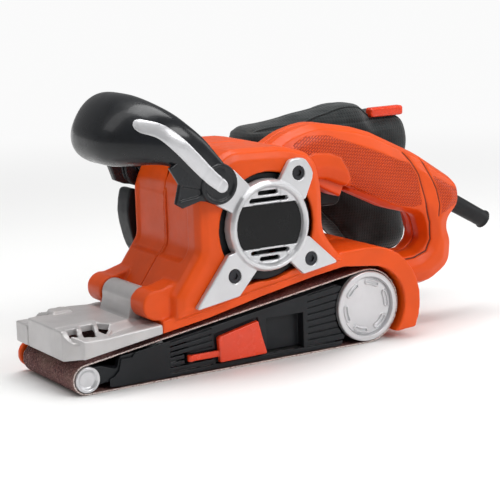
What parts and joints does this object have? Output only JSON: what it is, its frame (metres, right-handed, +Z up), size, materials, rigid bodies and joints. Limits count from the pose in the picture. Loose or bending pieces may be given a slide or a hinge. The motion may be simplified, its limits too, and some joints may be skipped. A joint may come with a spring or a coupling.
{
  "type": "handheld belt sander",
  "caption": "Handheld belt sander with an orange clamshell body, black front handle, hinged grey nose cover, driven rear drum, tensioned front roller and a side dust bag.",
  "frame": {"origin": "On the sanding plane, the underside of the belt, at mid width and midway between the drum's and the roller's axes.", "axes": "+X towards the rear grip, so the nose points to -X; +Y towards the drive side with the belt cover and dust bag; +Z up, away from the work."},
  "size_m": [0.3595, 0.1447, 0.1807],
  "materials": {
    "orange_plastic": "moulded, satin with a fine grain; pebbled on the grip",
    "lever_plastic": "smooth moulded",
    "silver_plastic": "silver-pigmented, satin",
    "nose_metal": "grey satin casting",
    "black_plastic": "satin moulded",
    "handle_black": "smooth, softly glossy",
    "label": "printed plate, blank",
    "black_rubber": "soft matte",
    "abrasive": "brown grit on a cloth backing",
    "bag_fabric": "woven, matte",
    "steel": "machined",
    "dark_steel": "black oxide",
    "aluminium": "cast and machined",
    "copper_brass": "bare",
    "graphite": "graphite-faced pad"
  },
  "bodies": {
    "housing": {"housing_near": "orange_plastic", "housing_far": "orange_plastic", "motor_cover": "silver_plastic", "cover_badge": "label", "cover_screw_top": "dark_steel", "cover_screw_rear": "dark_steel", "cover_screw_front": "dark_steel", "motor_end_shield": "black_plastic", "motor_stator": "dark_steel", "brush_holder_upper": "copper_brass", "brush_holder_lower": "copper_brass", "motor_bearing_near": "steel", "motor_bearing_far": "steel", "drum_bearing": "steel", "sanding_belt": "abrasive", "timing_belt": "black_rubber", "drive_cover": "black_plastic", "drive_cover_screw_1": "dark_steel", "drive_cover_screw_2": "dark_steel", "drive_cover_screw_3": "dark_steel", "belt_frame": "aluminium", "platen_plate": "steel", "platen_pad": "graphite", "side_frame": "black_plastic", "nose_hinge_pin": "steel", "handle_pin_near": "steel", "handle_pin_far": "steel", "switch_body": "black_plastic", "strain_relief": "black_rubber", "dust_port": "black_plastic"},
    "armature": {"armature_shaft": "steel", "armature_core": "dark_steel", "commutator": "copper_brass", "cooling_fan": "black_plastic", "drive_pinion": "steel"},
    "drum": {"drive_drum": "aluminium", "drum_sleeve": "black_rubber", "drum_cap": "silver_plastic", "drum_shaft": "steel", "driven_pulley": "black_plastic"},
    "yoke": {"roller_yoke": "black_plastic", "tension_spring": "steel"},
    "roller": {"front_roller": "steel", "roller_axle": "dark_steel", "roller_cap": "silver_plastic"},
    "release_lever": {"belt_lever": "lever_plastic"},
    "tracking_knob": {"tracking_knob": "lever_plastic"},
    "nose_cover": {"nose_cover": "nose_metal"},
    "front_handle": {"front_handle": "handle_black", "handle_inlay_near": "silver_plastic", "handle_inlay_far": "silver_plastic"},
    "trigger": {"trigger": "orange_plastic"},
    "lock_button": {"lock_button": "black_plastic"},
    "dust_bag": {"dust_bag": "bag_fabric", "bag_collar": "black_plastic"},
    "bag_clip": {"bag_clip": "lever_plastic"}
  },
  "joints": [
    {"name": "drum_spin", "type": "hinge", "parent": "housing", "child": "drum", "pos_m": [0.10556, 0, 0.0258], "axis": [0, 1, 0], "continuous": true},
    {"name": "armature_spin", "type": "hinge", "parent": "housing", "child": "armature", "pos_m": [0.021, 0, 0.0935], "axis": [0, 1, 0], "continuous": true},
    {"name": "yoke_slide", "type": "slide", "parent": "housing", "child": "yoke", "axis": [1, 0, 0], "range_m": [0, 0.006], "stiffness_N_per_m": 400, "springref_m": -0.015},
    {"name": "roller_spin", "type": "hinge", "parent": "yoke", "child": "roller", "pos_m": [-0.10556, 0, 0.0099], "axis": [0, 1, 0], "continuous": true},
    {"name": "lever_swing", "type": "hinge", "parent": "housing", "child": "release_lever", "pos_m": [-0.033, -0.0382, 0.012], "axis": [0, 0, -1], "range_deg": [0, 80]},
    {"name": "tracking_turn", "type": "hinge", "parent": "housing", "child": "tracking_knob", "pos_m": [-0.072, 0.05, 0.017], "axis": [0, 1, 0], "range_deg": [-180, 180]},
    {"name": "nose_hinge", "type": "hinge", "parent": "housing", "child": "nose_cover", "pos_m": [-0.056, 0, 0.05], "axis": [0, 1, 0], "range_deg": [0, 85]},
    {"name": "handle_tilt", "type": "hinge", "parent": "housing", "child": "front_handle", "pos_m": [-0.018, -0.002, 0.125], "axis": [0, 1, 0], "range_deg": [0, 70]},
    {"name": "trigger_pull", "type": "hinge", "parent": "housing", "child": "trigger", "pos_m": [0.079, 0, 0.122], "axis": [0, -1, 0], "range_deg": [0, 5], "stiffness_Nm_per_rad": 0.6, "springref_deg": -8.59},
    {"name": "lock_press", "type": "slide", "parent": "housing", "child": "lock_button", "axis": [0, -1, 0], "range_m": [0, 0.003], "stiffness_N_per_m": 300, "springref_m": -0.002},
    {"name": "bag_pull_off", "type": "slide", "parent": "housing", "child": "dust_bag", "axis": [0, 1, 0], "range_m": [0, 0.05]},
    {"name": "clip_slide", "type": "slide", "parent": "dust_bag", "child": "bag_clip", "axis": [1, 0, 0], "range_m": [0, 0.035]}
  ],
  "couplings": [
    {"joint": "armature_spin", "follows": "drum_spin", "ratio": 2.4},
    {"joint": "roller_spin", "follows": "drum_spin", "ratio": 2.8276},
    {"joint": "lever_swing", "follows": "yoke_slide", "rad_per_m": 232.69}
  ]
}
